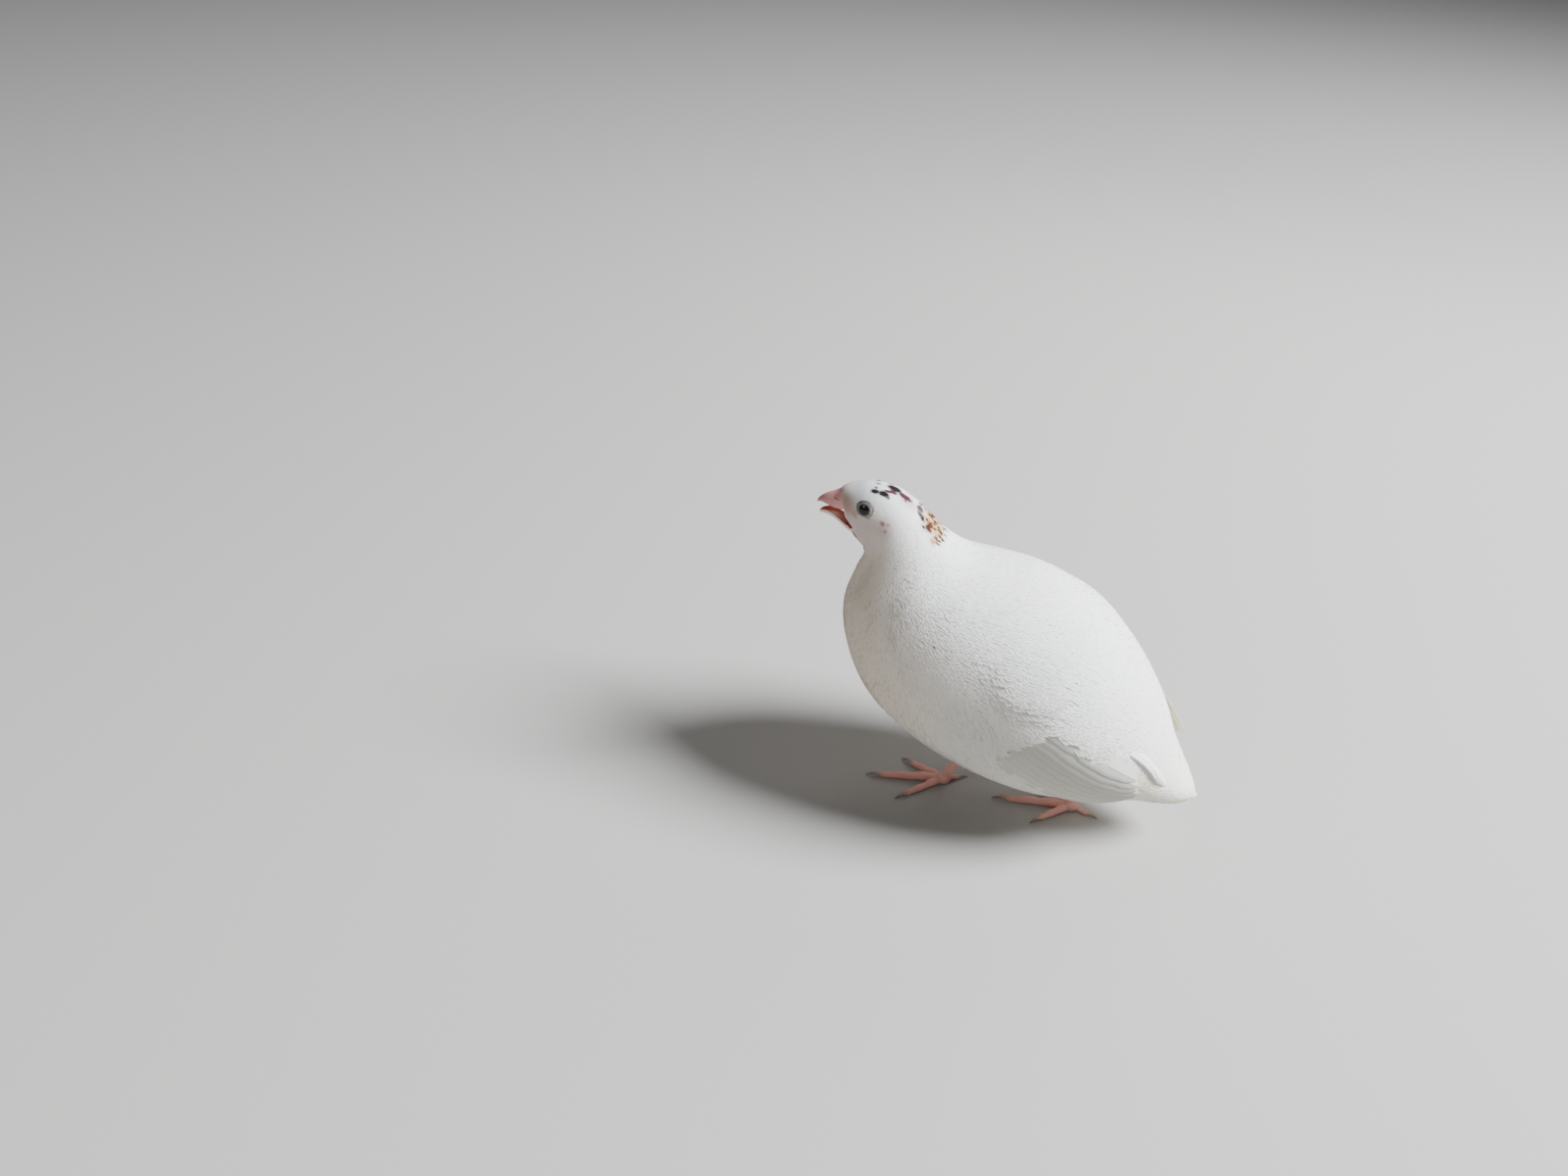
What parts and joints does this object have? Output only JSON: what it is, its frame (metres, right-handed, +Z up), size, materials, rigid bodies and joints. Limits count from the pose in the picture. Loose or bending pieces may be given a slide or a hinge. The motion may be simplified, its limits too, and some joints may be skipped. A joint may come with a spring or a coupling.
{
  "type": "coturnix quail",
  "caption": "Domestic white coturnix quail with a speckled crown, standing mid-step with its bill slightly open, as a still life-size model.",
  "frame": {"origin": "middle of the whole bird's box, on the floor it stands on", "axes": "The bird faces -X along its length, its left side is -Y, and +Z is up"},
  "size_m": [0.1588, 0.0852, 0.1301],
  "materials": {
    "plumage": "matte",
    "bill": "satin",
    "mouth": "moist",
    "eye": "gloss",
    "leg": "satin",
    "claw": "satin"
  },
  "bodies": {
    "root": {"head": "plumage", "upper_bill": "bill", "lower_bill": "bill", "tongue": "mouth", "neck": "plumage", "torso": "plumage", "tail": "plumage", "eye_left": "eye", "wing_left": "plumage", "leg_left": "leg", "foot_left": "leg", "claw_inner_left": "claw", "claw_middle_left": "claw", "claw_outer_left": "claw", "claw_hind_left": "claw", "eye_right": "eye", "wing_right": "plumage", "leg_right": "leg", "foot_right": "leg", "claw_inner_right": "claw", "claw_middle_right": "claw", "claw_outer_right": "claw", "claw_hind_right": "claw"}
  },
  "joints": []
}
